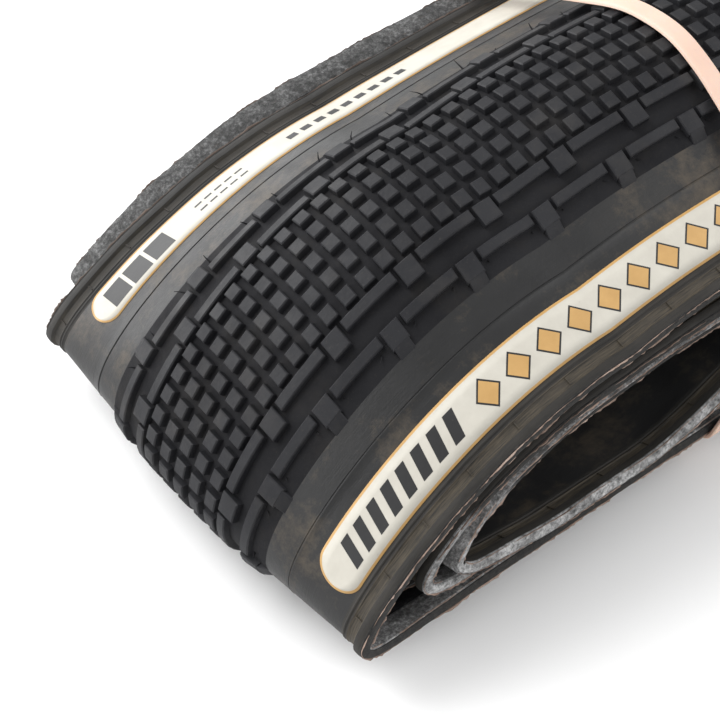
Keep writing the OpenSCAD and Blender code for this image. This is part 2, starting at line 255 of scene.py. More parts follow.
def casing_surface(ts):
    """Points and outward normals of the casing's outer face."""
    ts = np.asarray(ts, float)
    p = casing_points(ts)
    dt = casing_points(ts + 0.5) - casing_points(ts - 0.5)
    ds = np.roll(p, -1, 0) - np.roll(p, 1, 0)
    normal = unit(np.cross(dt, ds))
    return p + normal * waviness(ts)[..., None], normal


def turn_start(turn):
    """Path distance where the layers' turn with this number begins; every turn follows one leg."""
    cuts = [BEND_CUTS, FOLD_CUTS]
    return float(S_AT[LEG_CUTS * (turn + 1) + sum(cuts[k % 2] for k in range(turn))])


# the bead's edge is worn to pale fibre along these stretches, [from, to] in mm of path distance
WORN = [(turn_start(2) - 25, turn_start(2) + 60), (turn_start(4) + 45, turn_start(6) + 110)]

# a grid of the casing's surface, in which place() finds points; its last row is its first again
GRID_T = np.linspace(-66, 66, 89)
GRID_P, GRID_N = casing_surface(GRID_T)
GRID_P = np.concatenate([GRID_P, GRID_P[:1]])
GRID_N = np.concatenate([GRID_N, GRID_N[:1]])
S_WRAP = np.concatenate([S_RAW, [LENGTH]])


def place(s, t, n):
    """Frame points for path distance s, distance across t and height n over the casing."""
    s, t, n = np.broadcast_arrays(np.asarray(s, float), np.asarray(t, float), np.asarray(n, float))
    raw = np.mod(s + ZERO, LENGTH)
    i = np.clip(np.searchsorted(S_WRAP, raw, side="right") - 1, 0, STATIONS - 1)
    f = ((raw - S_WRAP[i]) / (S_WRAP[i + 1] - S_WRAP[i]))[..., None]
    g = np.clip((t - GRID_T[0]) / (GRID_T[1] - GRID_T[0]), 0, len(GRID_T) - 1.001)
    j = g.astype(int)
    h = (g - j)[..., None]

    def between(grid):
        nearer = grid[i, j] * (1 - f) + grid[i + 1, j] * f
        further = grid[i, j + 1] * (1 - f) + grid[i + 1, j + 1] * f
        return nearer * (1 - h) + further * h

    return between(GRID_P) + unit(between(GRID_N)) * n[..., None]


# ---------------------------------------------------------------- mesh helpers
def make_object(name, points, faces, material, body="tire", uv=None, sharp=35.0):
    mesh = bpy.data.meshes.new(name)
    mesh.from_pydata((np.asarray(points) * MM).tolist(), [], [list(map(int, f)) for f in faces])
    if uv is not None:
        layer = mesh.uv_layers.new(name="section")
        layer.data.foreach_set("uv", np.asarray(uv, np.float32).ravel())
    mesh.validate()
    mesh.polygons.foreach_set("use_smooth", np.ones(len(mesh.polygons), bool))
    if sharp is not None:
        mesh.set_sharp_from_angle(angle=math.radians(sharp))
    mesh.materials.append(material)
    obj = bpy.data.objects.new(name, mesh)
    bpy.context.scene.collection.objects.link(obj)
    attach(obj, body)
    return obj


def subdivide(outline, longest):
    """The closed outline with extra points, so that no edge spans more than longest across the tire."""
    out = []
    for (t0, n0), (t1, n1) in zip(outline, outline[1:] + outline[:1]):
        cuts = max(1, int(math.ceil(abs(t1 - t0) / longest)))
        out += [(t0 + (t1 - t0) * c / cuts, n0 + (n1 - n0) * c / cuts) for c in range(cuts)]
    return out


def ring(name, outline, material, longest=2.5):
    """A closed section swept once round the whole path."""
    outline = subdivide(outline, longest)
    ts = np.array([v[0] for v in outline])
    ns = np.array([v[1] for v in outline])
    p, nrm = casing_surface(ts)
    pts = p + nrm * ns[None, :, None]
    m = len(outline)
    faces, uv = [], []
    s_next = np.append(S_AT[1:], S_AT[0] + LENGTH)
    for i in range(STATIONS):
        r0, r1 = i * m, ((i + 1) % STATIONS) * m
        for a in range(m):
            b = (a + 1) % m
            faces.append((r0 + a, r0 + b, r1 + b, r1 + a))
            uv += [(S_AT[i], ts[a]), (S_AT[i], ts[b]), (s_next[i], ts[b]), (s_next[i], ts[a])]
    return make_object(name, pts.reshape(-1, 3), faces, material, uv=np.array(uv) * UV_SCALE)


def mirrored(outline):
    return [(-t, n) for t, n in reversed(outline)]


class Shapes:
    """Collects many small shapes into one mesh. They are open underneath, where they stand in the rubber."""

    def __init__(self):
        self.s, self.t, self.n, self.faces = [], [], [], []

    def add(self, s, t, n, faces):
        start = len(self.s)
        self.s += list(s)
        self.t += list(t)
        self.n += list(n)
        self.faces += [tuple(start + i for i in f) for f in faces]

    def build(self, name, material, sharp=35.0):
        s, t, n = np.array(self.s), np.array(self.t), np.array(self.n)
        uv = [(s[i] * UV_SCALE, t[i] * UV_SCALE) for f in self.faces for i in f]
        return make_object(name, place(s, t, n), self.faces, material, uv=uv, sharp=sharp)


def knob_top(t):
    """Height of the knobs' tops over the casing."""
    return np.interp(np.abs(t), [0, 20, 24, 28.9, 30, 31.4], [3.2, 3.2, 3.0, 2.5, 1.9, 0.95])


def block(shapes, s0, s1, t0, t1, drop=0.0, bevel=0.28, base=0.9, longest=2.6):
    """One knob with bevelled top edges: three loops of corners round it and a closed top."""
    cuts = max(1, int(math.ceil((s1 - s0) / longest)))
    along = np.linspace(0, 1, cuts + 1)
    s_all, t_all, n_all = [], [], []
    for inset, level in ((-0.12, None), (0.0, -bevel), (bevel, 0.0)):
        lo, hi = s0 + inset, s1 - inset
        loop_s = np.concatenate([lo + (hi - lo) * along, hi - (hi - lo) * along])
        loop_t = np.concatenate([np.full(cuts + 1, t0 + inset), np.full(cuts + 1, t1 - inset)])
        s_all += list(loop_s + TREAD_SKEW * loop_t)
        t_all += list(loop_t)
        n_all += list(np.full(len(loop_s), base) if level is None else knob_top(loop_t) + level - drop)
    m = 2 * (cuts + 1)
    faces = [(k * m + a, k * m + (a + 1) % m, (k + 1) * m + (a + 1) % m, (k + 1) * m + a)
             for k in range(2) for a in range(m)]
    faces += [(2 * m + a, 2 * m + a + 1, 2 * m + m - 2 - a, 2 * m + m - 1 - a) for a in range(cuts)]
    shapes.add(s_all, t_all, n_all, faces)


# ---------------------------------------------------------------- materials
def new_material(name):
    mat = bpy.data.materials.new(name)
    mat.use_nodes = True
    nt = mat.node_tree
    return mat, nt, nt.nodes["Principled BSDF"]


def node(nt, kind, inputs=None, **props):
    made = nt.nodes.new(kind)
    for k, v in props.items():
        setattr(made, k, v)
    for k, v in (inputs or {}).items():
        made.inputs[k].default_value = v
    return made


def coords(nt, stretch=(1, 1, 1), from_section=False):
    """Object coordinates in metres, or the section's own (path distance, distance across) in centimetres."""
    tex = node(nt, "ShaderNodeTexCoord")
    mapping = node(nt, "ShaderNodeMapping")
    mapping.inputs["Scale"].default_value = stretch
    nt.links.new(tex.outputs["UV" if from_section else "Object"], mapping.inputs["Vector"])
    return mapping.outputs["Vector"]


def section_axes(nt):
    """The section's own coordinates in centimetres: path distance (X) and distance across (Y)."""
    tex = node(nt, "ShaderNodeTexCoord")
    split = node(nt, "ShaderNodeSeparateXYZ")
    nt.links.new(tex.outputs["UV"], split.inputs[0])
    return split.outputs["X"], split.outputs["Y"]


def noise(nt, vector, scale, detail=4.0, rough=0.6):
    made = node(nt, "ShaderNodeTexNoise", {"Scale": scale, "Detail": detail, "Roughness": rough})
    nt.links.new(vector, made.inputs["Vector"])
    return made.outputs["Fac"]


def ramp(nt, value, stops):
    made = node(nt, "ShaderNodeValToRGB")
    cr = made.color_ramp
    while len(cr.elements) < len(stops):
        cr.elements.new(0.5)
    for e, (pos, col) in zip(cr.elements, stops):
        e.position = pos
        e.color = (*col, 1)
    nt.links.new(value, made.inputs["Fac"])
    return made.outputs["Color"]


def grey(v):
    return (v, v, v)


def mix(nt, fac, a, b):
    made = node(nt, "ShaderNodeMix", data_type="RGBA", blend_type="MIX")
    for value, socket in ((fac, made.inputs[0]), (a, made.inputs[6]), (b, made.inputs[7])):
        if isinstance(value, bpy.types.NodeSocket):
            nt.links.new(value, socket)
        else:
            socket.default_value = value if isinstance(value, float) else (*value, 1)
    return made.outputs[2]


def maths(nt, op, a, b=None, clamp=False):
    made = node(nt, "ShaderNodeMath", operation=op, use_clamp=clamp)
    for value, socket in ((a, made.inputs[0]), (b, made.inputs[1])):
        if value is None:
            continue
        if isinstance(value, bpy.types.NodeSocket):
            nt.links.new(value, socket)
        else:
            socket.default_value = value
    return made.outputs[0]


def bump(nt, bsdf, height, strength, distance):
    made = node(nt, "ShaderNodeBump", {"Strength": strength, "Distance": distance})
    nt.links.new(height, made.inputs["Height"])
    nt.links.new(made.outputs["Normal"], bsdf.inputs["Normal"])


def finish_material(nt, bsdf, colour, rough, height, strength=0.4, distance=0.0004):
    nt.links.new(colour, bsdf.inputs["Base Color"])
    if isinstance(rough, float):
        bsdf.inputs["Roughness"].default_value = rough
    else:
        nt.links.new(rough, bsdf.inputs["Roughness"])
    bump(nt, bsdf, height, strength, distance)


def rubber(name, dark, light, dust, dust_amount, rough=(0.55, 0.8), grain=900.0, strength=0.35, spec=0.5):
    """Rubber with cloudy tone, fine grain and thin dust in patches."""
    mat, nt, bsdf = new_material(name)
    v = coords(nt)
    cloud = noise(nt, v, 38.0, 5.0)
    fine = noise(nt, v, grain, 3.0)
    tone = ramp(nt, cloud, [(0.3, dark), (0.72, light)])
    patch = ramp(nt, noise(nt, v, 70.0, 6.0, 0.7), [(0.5, grey(0)), (0.78, grey(dust_amount))])
    specks = ramp(nt, noise(nt, v, 1500.0, 2.0), [(0.62, grey(0)), (0.74, grey(dust_amount * 0.8))])
    amount = maths(nt, "MAXIMUM", patch, specks)
    colour = mix(nt, amount, tone, dust)
    rough_map = ramp(nt, noise(nt, v, 120.0), [(0.3, grey(rough[0])), (0.7, grey(rough[1]))])
    bsdf.inputs["Specular IOR Level"].default_value = spec
    finish_material(nt, bsdf, colour, rough_map, fine, strength, 0.00025)
    return mat


mat_knob = rubber("knob_rubber", (0.010, 0.0102, 0.0125), (0.021, 0.0214, 0.0245),
                  (0.075, 0.068, 0.06), 0.3, (0.5, 0.7), spec=0.28)
# the tread floor, and the vent hairs, get a darker copy of the knob rubber: painted shade in the recess
# between the knobs
mat_floor = rubber("tread_floor_rubber", (0.0075, 0.0075, 0.009), (0.016, 0.016, 0.018),
                   (0.035, 0.031, 0.026), 0.4, (0.65, 0.85), spec=0.16)


def sidewall_material():
    """Thin satin rubber, with scuffs and brown dust and faint lines that run round the tire."""
    mat, nt, bsdf = new_material("sidewall_rubber_skin")
    v = coords(nt)
    around = coords(nt, (0.6, 14.0, 1.0), True)
    cloud = noise(nt, v, 28.0, 6.0, 0.65)
    lines = noise(nt, around, 2.0, 4.0)
    tone = ramp(nt, cloud, [(0.28, (0.006, 0.006, 0.0065)), (0.55, (0.012, 0.012, 0.0125)),
                            (0.8, (0.022, 0.020, 0.018))])
    dust = ramp(nt, noise(nt, v, 62.0, 9.0, 0.78), [(0.5, grey(0)), (0.6, grey(0.25)), (0.74, grey(0.6))])
    colour = mix(nt, dust, tone, (0.12, 0.092, 0.06))
    rough = ramp(nt, noise(nt, v, 60.0, 5.0), [(0.3, grey(0.38)), (0.7, grey(0.56))])
    height = maths(nt, "ADD", maths(nt, "MULTIPLY", lines, 0.6), noise(nt, v, 700.0, 3.0))
    bsdf.inputs["Specular IOR Level"].default_value = 0.44
    finish_material(nt, bsdf, colour, rough, height, 0.25, 0.0003)
    return mat


def bead_material(name, dust_and_light):
    """Ribbed rubber by the bead: black, with a dusty brown strip between the ribs."""
    mat, nt, bsdf = new_material(name)
    across = maths(nt, "ABSOLUTE", section_axes(nt)[1])
    around = coords(nt, (0.9, 20.0, 1.0), True)
    streak = noise(nt, around, 1.6, 5.0, 0.7)
    strip = maths(nt, "MULTIPLY",
                  maths(nt, "GREATER_THAN", across, 5.86), maths(nt, "LESS_THAN", across, 6.16))
    dusty = ramp(nt, streak, [(0.36, grey(0.0)), (0.68, grey(0.75))])
    v = coords(nt)
    base = ramp(nt, noise(nt, v, 60.0, 6.0), [(0.3, (0.009, 0.009, 0.009)), (0.75, (0.03, 0.028, 0.026))])
    # this factor sets the dust, and its lower value on the far side's copy is painted shade
    strip_dust = maths(nt, "MULTIPLY", strip, 0.7 * dust_and_light)
    amount = maths(nt, "MULTIPLY", dusty, maths(nt, "ADD", strip_dust, 0.14 * dust_and_light))
    colour = mix(nt, amount, base, (0.14, 0.112, 0.074))
    bsdf.inputs["Specular IOR Level"].default_value = 0.3
    height = maths(nt, "ADD", streak, noise(nt, v, 600.0, 3.0))
    finish_material(nt, bsdf, colour, 0.62, height, 0.35, 0.0003)
    return mat


def toe_material(name, bright):
    """The inner strip of the bead: grey fibre showing through worn rubber."""
    mat, nt, bsdf = new_material(name)
    around = coords(nt, (2.2, 9.0, 1.0), True)
    v = coords(nt)
    fibre = noise(nt, v, 850.0, 6.0, 0.8)
    blotch = noise(nt, v, 170.0, 6.0, 0.75)
    pale = ramp(nt, fibre, [(0.38, grey(0.16 * bright)), (0.5, grey(0.38 * bright)), (0.66, grey(bright))])
    dark = ramp(nt, blotch, [(0.42, grey(0.55)), (0.56, grey(0.0))])
    colour = mix(nt, dark, pale, grey(0.06 * bright))
    pink = ramp(nt, noise(nt, around, 1.5, 4.0), [(0.6, grey(0)), (0.78, grey(0.4))])
    colour = mix(nt, pink, colour, (0.6 * bright, 0.42 * bright, 0.33 * bright))
    height = maths(nt, "ADD", fibre, blotch)
    finish_material(nt, bsdf, colour, 0.88, height, 0.8, 0.0007)
    return mat


def edge_material(name, bright):
    """The bead's edge: dark on the top layer and the nose, worn to pale fibre on the folded-in layers."""
    mat, nt, bsdf = new_material(name)
    along = section_axes(nt)[0]
    v = coords(nt)
    fibre = noise(nt, v, 800.0, 6.0, 0.8)
    pale = ramp(nt, fibre, [(0.36, grey(0.12 * bright)), (0.5, grey(0.5 * bright)), (0.66, grey(bright))])
    dark = ramp(nt, fibre, [(0.4, (0.008, 0.008, 0.008)), (0.62, (0.03, 0.028, 0.026)),
                            (0.75, (0.1, 0.08, 0.066))])
    worn = None
    for start, end in WORN:
        inside = maths(nt, "MULTIPLY", maths(nt, "SUBTRACT", along, start * UV_SCALE, True),
                       maths(nt, "SUBTRACT", end * UV_SCALE, along, True))
        worn = inside if worn is None else maths(nt, "MAXIMUM", worn, inside)
    blotch = ramp(nt, noise(nt, v, 90.0, 5.0, 0.7), [(0.36, grey(0.4)), (0.52, grey(1.0))])
    colour = mix(nt, maths(nt, "MULTIPLY", worn, blotch), dark, pale)
    finish_material(nt, bsdf, colour, 0.88, fibre, 0.7, 0.0006)
    return mat


def flash_material(name, bright):
    """Torn thin edge of rubber: dusty pink to rust brown."""
    mat, nt, bsdf = new_material(name)
    v = coords(nt)
    tones = [(0.32, (0.05, 0.037, 0.03)), (0.5, (0.27, 0.19, 0.15)), (0.7, (0.46, 0.36, 0.31))]
    stops = [(at, [bright * c for c in tone]) for at, tone in tones]
    colour = ramp(nt, noise(nt, v, 120.0, 6.0, 0.75), stops)
    finish_material(nt, bsdf, colour, 0.85, noise(nt, v, 900.0), 0.5, 0.0003)
    return mat


def liner_material():
    """Inner rubber: black, with fine pale mould specks and a grainy bloom."""
    mat, nt, bsdf = new_material("liner_inner_rubber")
    v = coords(nt)
    grain = noise(nt, v, 650.0, 5.0, 0.75)
    bloom = noise(nt, v, 45.0, 5.0, 0.65)
    tone = ramp(nt, grain, [(0.46, (0.006, 0.006, 0.007)), (0.6, (0.022, 0.022, 0.024)),
                            (0.74, (0.12, 0.12, 0.125))])
    shade = ramp(nt, bloom, [(0.38, grey(0.7)), (0.62, grey(0.0))])
    colour = mix(nt, shade, tone, (0.005, 0.005, 0.006))
    bsdf.inputs["Specular IOR Level"].default_value = 0.25
    finish_material(nt, bsdf, colour, 0.7, grain, 0.7, 0.0005)
    return mat


def ink_material(name, low, high, rough, scale=140.0, wear=0.12):
    """Printed rubber: an even tone with faint clouding, small chips and a fine skin texture."""
    mat, nt, bsdf = new_material(name)
    v = coords(nt)
    tone = ramp(nt, noise(nt, v, scale, 5.0), [(0.3, low), (0.7, high)])
    chips = ramp(nt, noise(nt, v, 900.0, 3.0), [(0.68, grey(0)), (0.76, grey(wear))])
    colour = mix(nt, chips, tone, (0.16, 0.14, 0.11))
    finish_material(nt, bsdf, colour, rough, noise(nt, v, 1300.0, 2.0), 0.15, 0.0002)
    return mat


def woven_material(name, warp, gap, cell=1.2):
    """Cord cloth: fine crossed cords with gaps between them."""
    mat, nt, bsdf = new_material(name)
    sec = coords(nt, from_section=True)
    turn = node(nt, "ShaderNodeMapping")
    turn.inputs["Rotation"].default_value = (0, 0, math.radians(45))
    nt.links.new(sec, turn.inputs["Vector"])
    bands = []
    for axis in ("X", "Y"):
        wave = node(nt, "ShaderNodeTexWave", {"Scale": 3.14 / cell, "Distortion": 0.6, "Detail": 1.0},
                    wave_type="BANDS", bands_direction=axis)
        nt.links.new(turn.outputs["Vector"], wave.inputs["Vector"])
        bands.append(wave.outputs["Fac"])
    cords = maths(nt, "MAXIMUM", bands[0], bands[1])
    tone = ramp(nt, cords, [(0.3, gap), (0.8, warp)])
    colour = mix(nt, ramp(nt, noise(nt, coords(nt), 90.0), [(0.4, grey(0.0)), (0.7, grey(0.35))]), tone, gap)
    finish_material(nt, bsdf, colour, 0.8, cords, 0.5, 0.0003)
    return mat


def band_material():
    """Pale pink elastic: slightly translucent, with faint moulding streaks and darker flecks."""
    mat, nt, bsdf = new_material("elastic_band_rubber")
    v = coords(nt)
    tone = ramp(nt, noise(nt, v, 30.0, 4.0), [(0.3, (0.68, 0.47, 0.37)), (0.7, (0.75, 0.55, 0.45))])
    fleck = ramp(nt, noise(nt, v, 800.0, 3.0), [(0.64, grey(0)), (0.76, grey(0.25))])
    colour = mix(nt, fleck, tone, (0.58, 0.34, 0.22))
    bsdf.inputs["Subsurface Weight"].default_value = 0.15
    bsdf.inputs["Subsurface Radius"].default_value = (0.004, 0.002, 0.001)
    bsdf.inputs["Subsurface Scale"].default_value = 0.5
    finish_material(nt, bsdf, colour, 0.48, noise(nt, v, 500.0, 3.0), 0.2, 0.0002)
    return mat


def stage_material():
    mat, nt, bsdf = new_material("studio_floor_paper")
    v = coords(nt)
    colour = ramp(nt, noise(nt, v, 6.0, 2.0), [(0.3, (0.93, 0.93, 0.93)), (0.7, (0.95, 0.95, 0.95))])
    finish_material(nt, bsdf, colour, 0.9, noise(nt, v, 300.0), 0.02, 0.0002)
    return mat


mat_side = sidewall_material()
# the far side's beads lie in the shade: their copies are darker, with less dust and pale fibre, which is
# painted shade
mat_bead = {"near": bead_material("bead_rib_rubber_near", 1.0),
            "far": bead_material("bead_rib_rubber_far_painted_shade", 0.35)}
mat_toe = {"near": toe_material("bead_toe_cloth_near", 0.55),
           "far": toe_material("bead_toe_cloth_far_painted_shade", 0.26)}
mat_edge = {"near": edge_material("bead_edge_rubber_near", 0.62),
            "far": edge_material("bead_edge_rubber_far_painted_shade", 0.06)}
mat_flash = {"near": flash_material("bead_flash_rubber_near", 1.0),
             "far": flash_material("bead_flash_rubber_far_painted_shade", 0.3)}
mat_liner = liner_material()
mat_cream = ink_material("label_cream_ink", (0.50, 0.475, 0.415), (0.57, 0.545, 0.48), 0.55)
mat_gold = ink_material("label_gold_ink", (0.46, 0.27, 0.09), (0.55, 0.33, 0.12), 0.45)
mat_black = ink_material("label_black_ink", (0.008, 0.008, 0.009), (0.014, 0.014, 0.015), 0.5)
mat_cushion = rubber("cushion_rubber_body", (0.02, 0.02, 0.021), (0.035, 0.035, 0.036),
                     (0.16, 0.115, 0.07), 0.05)
mat_belt = woven_material("belt_cord_cloth", (0.5, 0.4, 0.2), (0.12, 0.09, 0.05))
mat_casing = woven_material("casing_cord_cloth", (0.10, 0.095, 0.09), (0.02, 0.02, 0.02), 0.8)
mat_core = woven_material("bead_core_fibre", (0.62, 0.5, 0.2), (0.3, 0.22, 0.08), 0.5)
mat_band = band_material()


# ---------------------------------------------------------------- inner layers and sidewalls
def finished(obj, slot, *nodes):
    if nodes:
        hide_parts(*nodes)
    return obj


def whole(low, high):
    """The closed outline between a lower and an upper line, each given from the centre to one side."""
    def both(line):
        return [(-across, n) for across, n in reversed(line)] + [v for v in line if v[0] > 0]
    return both(low) + list(reversed(both(high)))


# outlines are points (distance across, height over the casing's outer face)
TREAD_FLOOR = whole([(0, 1.02), (20, 1.02), (30, 0.75), (31, 0.75)],
                    [(0, FLOOR), (20, FLOOR), (24, 1.2), (28, 1.05), (31, 0.86)])
CUSHION = whole([(0, 0.4), (20, 0.4), (20.5, 0.05), (30, 0.05)], [(0, 1.0), (20, 1.0), (30, 0.72)])
BELT = whole([(0, 0.02), (20, 0.02)], [(0, 0.38), (20, 0.38)])
CASING = whole([(0, -0.58), (64.2, -0.58)], [(0, 0.0), (64.2, 0.0)])
LINER = whole([(0, -1.0), (57.6, -1.0), (58.4, -0.7)], [(0, -0.6), (58.4, -0.6)])
finished(ring("tread_floor", TREAD_FLOOR, mat_floor), "tread_rubber", "tread_cap")
finished(ring("base_cushion", CUSHION, mat_cushion), "cushion_rubber", "base_rubber")
finished(ring("puncture_belt", BELT, mat_belt), "belt_cord", "breaker_belt")
finished(ring("casing_plies", CASING, mat_casing), "casing_cord", "casing")
finished(ring("inner_lining", LINER, mat_liner), "liner_rubber", "inner_liner")

# the far side's outlines; the near side's are their mirror images
SIDE = [(30.2, 0.02), (57.0, 0.02), (57.0, 0.8), (44.0, 0.8), (39.6, 0.8), (39.35, 0.9), (39.15, 0.86),
        (39.05, 0.66), (38.85, 0.66), (38.75, 0.8), (34.0, 0.82), (30.2, 0.86)]
RIBS = [(56.6, 0.02), (63.8, 0.02), (64.0, 1.9), (63.5, 2.06), (62.4, 2.08), (61.7, 1.95), (61.3, 1.45),
        (61.1, 1.12), (60.7, 1.02), (59.2, 0.94), (58.95, 1.02), (58.8, 1.16), (58.55, 1.16), (58.4, 0.98),
        (58.1, 0.92), (57.9, 1.02), (57.75, 1.14), (57.5, 1.14), (57.35, 0.98), (57.1, 0.86), (56.6, 0.8)]
EDGE = [(63.5, 1.9), (64.1, 2.05), (64.5, 1.75), (64.7, 1.1), (64.75, 0.3), (64.7, -0.5), (64.3, -0.75),
        (63.5, -0.7)]
TOE = [(64.2, -0.45), (64.55, -0.7), (64.4, -1.1), (63.6, -1.2), (61.0, -1.15), (58.6, -1.02),
       (58.0, -0.75), (58.3, -0.4)]
CORE = [(59.6, 0.03), (62.9, 0.03), (62.9, 0.9), (59.6, 0.9)]
for side, sign in SIDES:
    turn = mirrored if sign < 0 else list
    finished(ring(f"sidewall_skin_{side}", turn(SIDE), mat_side), "sidewall_rubber", f"sidewall_{side}")
    finished(ring(f"bead_ribs_{side}", turn(RIBS), mat_bead[side]), "chafer_cloth", f"chafer_{side}")
    finished(ring(f"bead_edge_{side}", turn(EDGE), mat_edge[side]), "chafer_cloth")
    finished(ring(f"bead_toe_{side}", turn(TOE), mat_toe[side]), "chafer_cloth")
    finished(ring(f"bead_cord_{side}", turn(CORE), mat_core), "bead_cord", f"bead_core_{side}")


def flash(side, sign):
    """Ragged thin rubber left standing along both corners of the bead's edge."""
    count = int(LENGTH / FLASH_STEP)
    s = np.arange(count) * (LENGTH / count)
    shapes = Shapes()
    for corner_n, lean in ((1.9, 0.35), (-0.9, -0.3)):
        tall = np.zeros(count)
        for waves, size in ((61, 0.2), (173, 0.14), (467, 0.08), (911, 0.06)):
            tall += size * np.sin(2 * np.pi * waves * s / LENGTH + rng.uniform(0, 6.28))
        tall = np.clip(0.25 + tall + rng.normal(0, 0.09, count), 0.05, 0.9)
        wander = 0.12 * np.sin(2 * np.pi * 131 * s / LENGTH + rng.uniform(0, 6.28))
        # four lines of points: foot, outer flank, tip and inner flank
        rows = [(FLASH_FOOT - 0.3, corner_n - 0.12),
                (FLASH_FOOT + tall * 0.5, corner_n + lean * tall * 0.4 + wander),
                (FLASH_FOOT + tall, corner_n + lean * tall + wander),
                (FLASH_FOOT + tall * 0.5, corner_n - 0.16 + wander)]
        t = np.concatenate([np.broadcast_to(r[0], count) for r in rows])
        n = np.concatenate([np.broadcast_to(r[1], count) for r in rows])
        faces = []
        for i in range(count):
            k = (i + 1) % count
            for a in range(4):
                b = (a + 1) % 4
                faces.append((a * count + i, b * count + i, b * count + k, a * count + k))
        shapes.add(np.tile(s, 4), sign * t, n, faces)
    return finished(shapes.build(f"bead_flash_{side}", mat_flash[side], None), "chafer_cloth")


for side, sign in SIDES:
    flash(side, sign)

# ---------------------------------------------------------------- tread blocks
small, shoulder = Shapes(), Shapes()
for k in range(PERIODS):
    s_block = TREAD_START + k * PERIOD
    for c in range(KNOBS_PER_PERIOD):
        s_mid = s_block + PERIOD * (c + 0.5) / KNOBS_PER_PERIOD
        for row in KNOB_ROWS:
            ds, dt = rng.normal(0, KNOB_JITTER, 2)
            block(small, s_mid - KNOB_HALF + ds, s_mid + KNOB_HALF + ds, row - KNOB_HALF + dt,
                  row + KNOB_HALF + dt, drop=float(rng.uniform(0, KNOB_WEAR)))
    for sign in (-1, 1):
        for edge, size, s_mid in ((INNER_EDGE, INNER_SIZE, s_block),
                                  (OUTER_EDGE, OUTER_SIZE, s_block - PERIOD / 2)):
            lo, hi = sorted((sign * edge, sign * (edge + size)))
            block(shoulder, s_mid - size / 2, s_mid + size / 2, lo, hi,
                  drop=float(rng.uniform(0, BLOCK_WEAR)))
            bar_lo, bar_hi = sorted((sign * edge, sign * (edge + BAR_WIDTH)))
            block(shoulder, s_mid + size / 2 + BAR_GAP, s_mid + PERIOD - size / 2 - BAR_GAP, bar_lo, bar_hi,
                  drop=BAR_DROP + float(rng.uniform(0, BLOCK_WEAR)))
        tail_lo, tail_hi = sorted((sign * (OUTER_EDGE + OUTER_SIZE - TAIL_LAP), sign * TAIL_END))
        s_mid = s_block - PERIOD / 2
        block(shoulder, s_mid - TAIL_HALF, s_mid + TAIL_HALF, tail_lo, tail_hi, BAR_DROP, bevel=0.2, base=0.6)
finished(small.build("centre_knobs", mat_knob), "tread_rubber")
finished(shoulder.build("shoulder_blocks", mat_knob), "tread_rubber")


# ---------------------------------------------------------------- vent hairs, ticks
def hair(shapes, s0, sign, tall, lean_s, lean_t):
    """One vent hair: a thin tapered rod of four rings with five corners, bent over as it rises."""
    rings, sides = 4, 5
    ang = np.arange(sides) * 2 * np.pi / sides
    s, t, n = [], [], []
    for r in range(rings):
        f = r / (rings - 1)
        rad = 0.3 * (1 - f) + 0.09
        s += list(s0 + TREAD_SKEW * sign * HAIR_T + lean_s * tall * f * f + rad * np.cos(ang))
        t += list(sign * HAIR_T + sign * 0.9 * tall * f + lean_t * tall * f * f * 0.5 + rad * np.sin(ang))
        n += [0.9 + tall * (0.8 * f)] * sides
    faces = [(r * sides + a, r * sides + (a + 1) % sides, (r + 1) * sides + (a + 1) % sides,
              (r + 1) * sides + a) for r in range(rings - 1) for a in range(sides)]
    faces.append(tuple((rings - 1) * sides + a for a in range(sides)))
    shapes.add(s, t, n, faces)


def vent_hairs():
    """Hairs left by the mould's vents beside the outer shoulder blocks, shorter on the near side."""
    shapes = Shapes()
    for k in range(PERIODS):
        for sign in (-1, 1):
            for place_s in HAIR_PLACES:
                s0 = TREAD_START + k * PERIOD - PERIOD / 2 + place_s + rng.normal(0, 0.3)
                tall = float(np.clip(rng.normal(2.3, 0.8), 0.5, 3.6)) * (1.0 if sign > 0 else 0.5)
                lean_s, lean_t = rng.normal(0.0, 0.45, 2)
                hair(shapes, s0, sign, tall, lean_s, lean_t)
    return finished(shapes.build("vent_hairs", mat_floor, None), "tread_rubber")


vent_hairs()


def rim_ticks(side, sign):
    """Short cross ridges left by the mould's vents in the strip between the ribs."""
    shapes = Shapes()
    count = int(round(LENGTH / TICK_SPACING))
    for k in range(count):
        s0 = k * LENGTH / count + 8.5 + rng.normal(0, 0.4)
        lo, hi = sorted((sign * TICK_IN, sign * TICK_OUT))
        s, t, n = [], [], []
        for level, half in ((0.8, 0.3), (1.28, 0.16)):
            for ss, tt in ((-half, lo), (half, lo), (half, hi), (-half, hi)):
                s.append(s0 + ss)
                t.append(tt)
                n.append(level + (0.12 if abs(tt) > 60 else 0))
        faces = [(a, (a + 1) % 4, 4 + (a + 1) % 4, 4 + a) for a in range(4)] + [(4, 5, 6, 7)]
        shapes.add(s, t, n, faces)
    return finished(shapes.build(f"rim_ticks_{side}", mat_bead[side]), "chafer_cloth")


for side, sign in SIDES:
    rim_ticks(side, sign)


# ---------------------------------------------------------------- labels
def pill(shapes, s0, s1, t0, t1, n, skirt=0.25, step=1.2):
    """A flat printed patch with round ends, which follows the sidewall."""
    half = (t1 - t0) / 2
    mid = (t1 + t0) / 2
    ss = [s0 + half - half * math.sin(a) for a in np.linspace(math.pi / 2, 0, 12, endpoint=False)]
    ss += list(np.arange(s0 + half, s1 - half, step)) + [s1 - half]
    ss += [s1 - half + half * math.sin(a) for a in np.linspace(0, math.pi / 2, 13)[1:]]
    s, t, nn = [], [], []
    across = np.linspace(-1, 1, 6)
    for x in ss:
        over = max(s0 + half - x, x - (s1 - half), 0)
        wide = half * math.sqrt(max(1 - (over / half) ** 2, 0.0004))
        s += [x] * 8
        t += [mid - wide] + list(mid + wide * across) + [mid + wide]
        nn += [n - skirt] + [n] * 6 + [n - skirt]
    faces = [(r * 8 + a, r * 8 + a + 1, (r + 1) * 8 + a + 1, (r + 1) * 8 + a)
             for r in range(len(ss) - 1) for a in range(7)]
    shapes.add(s, t, nn, faces)


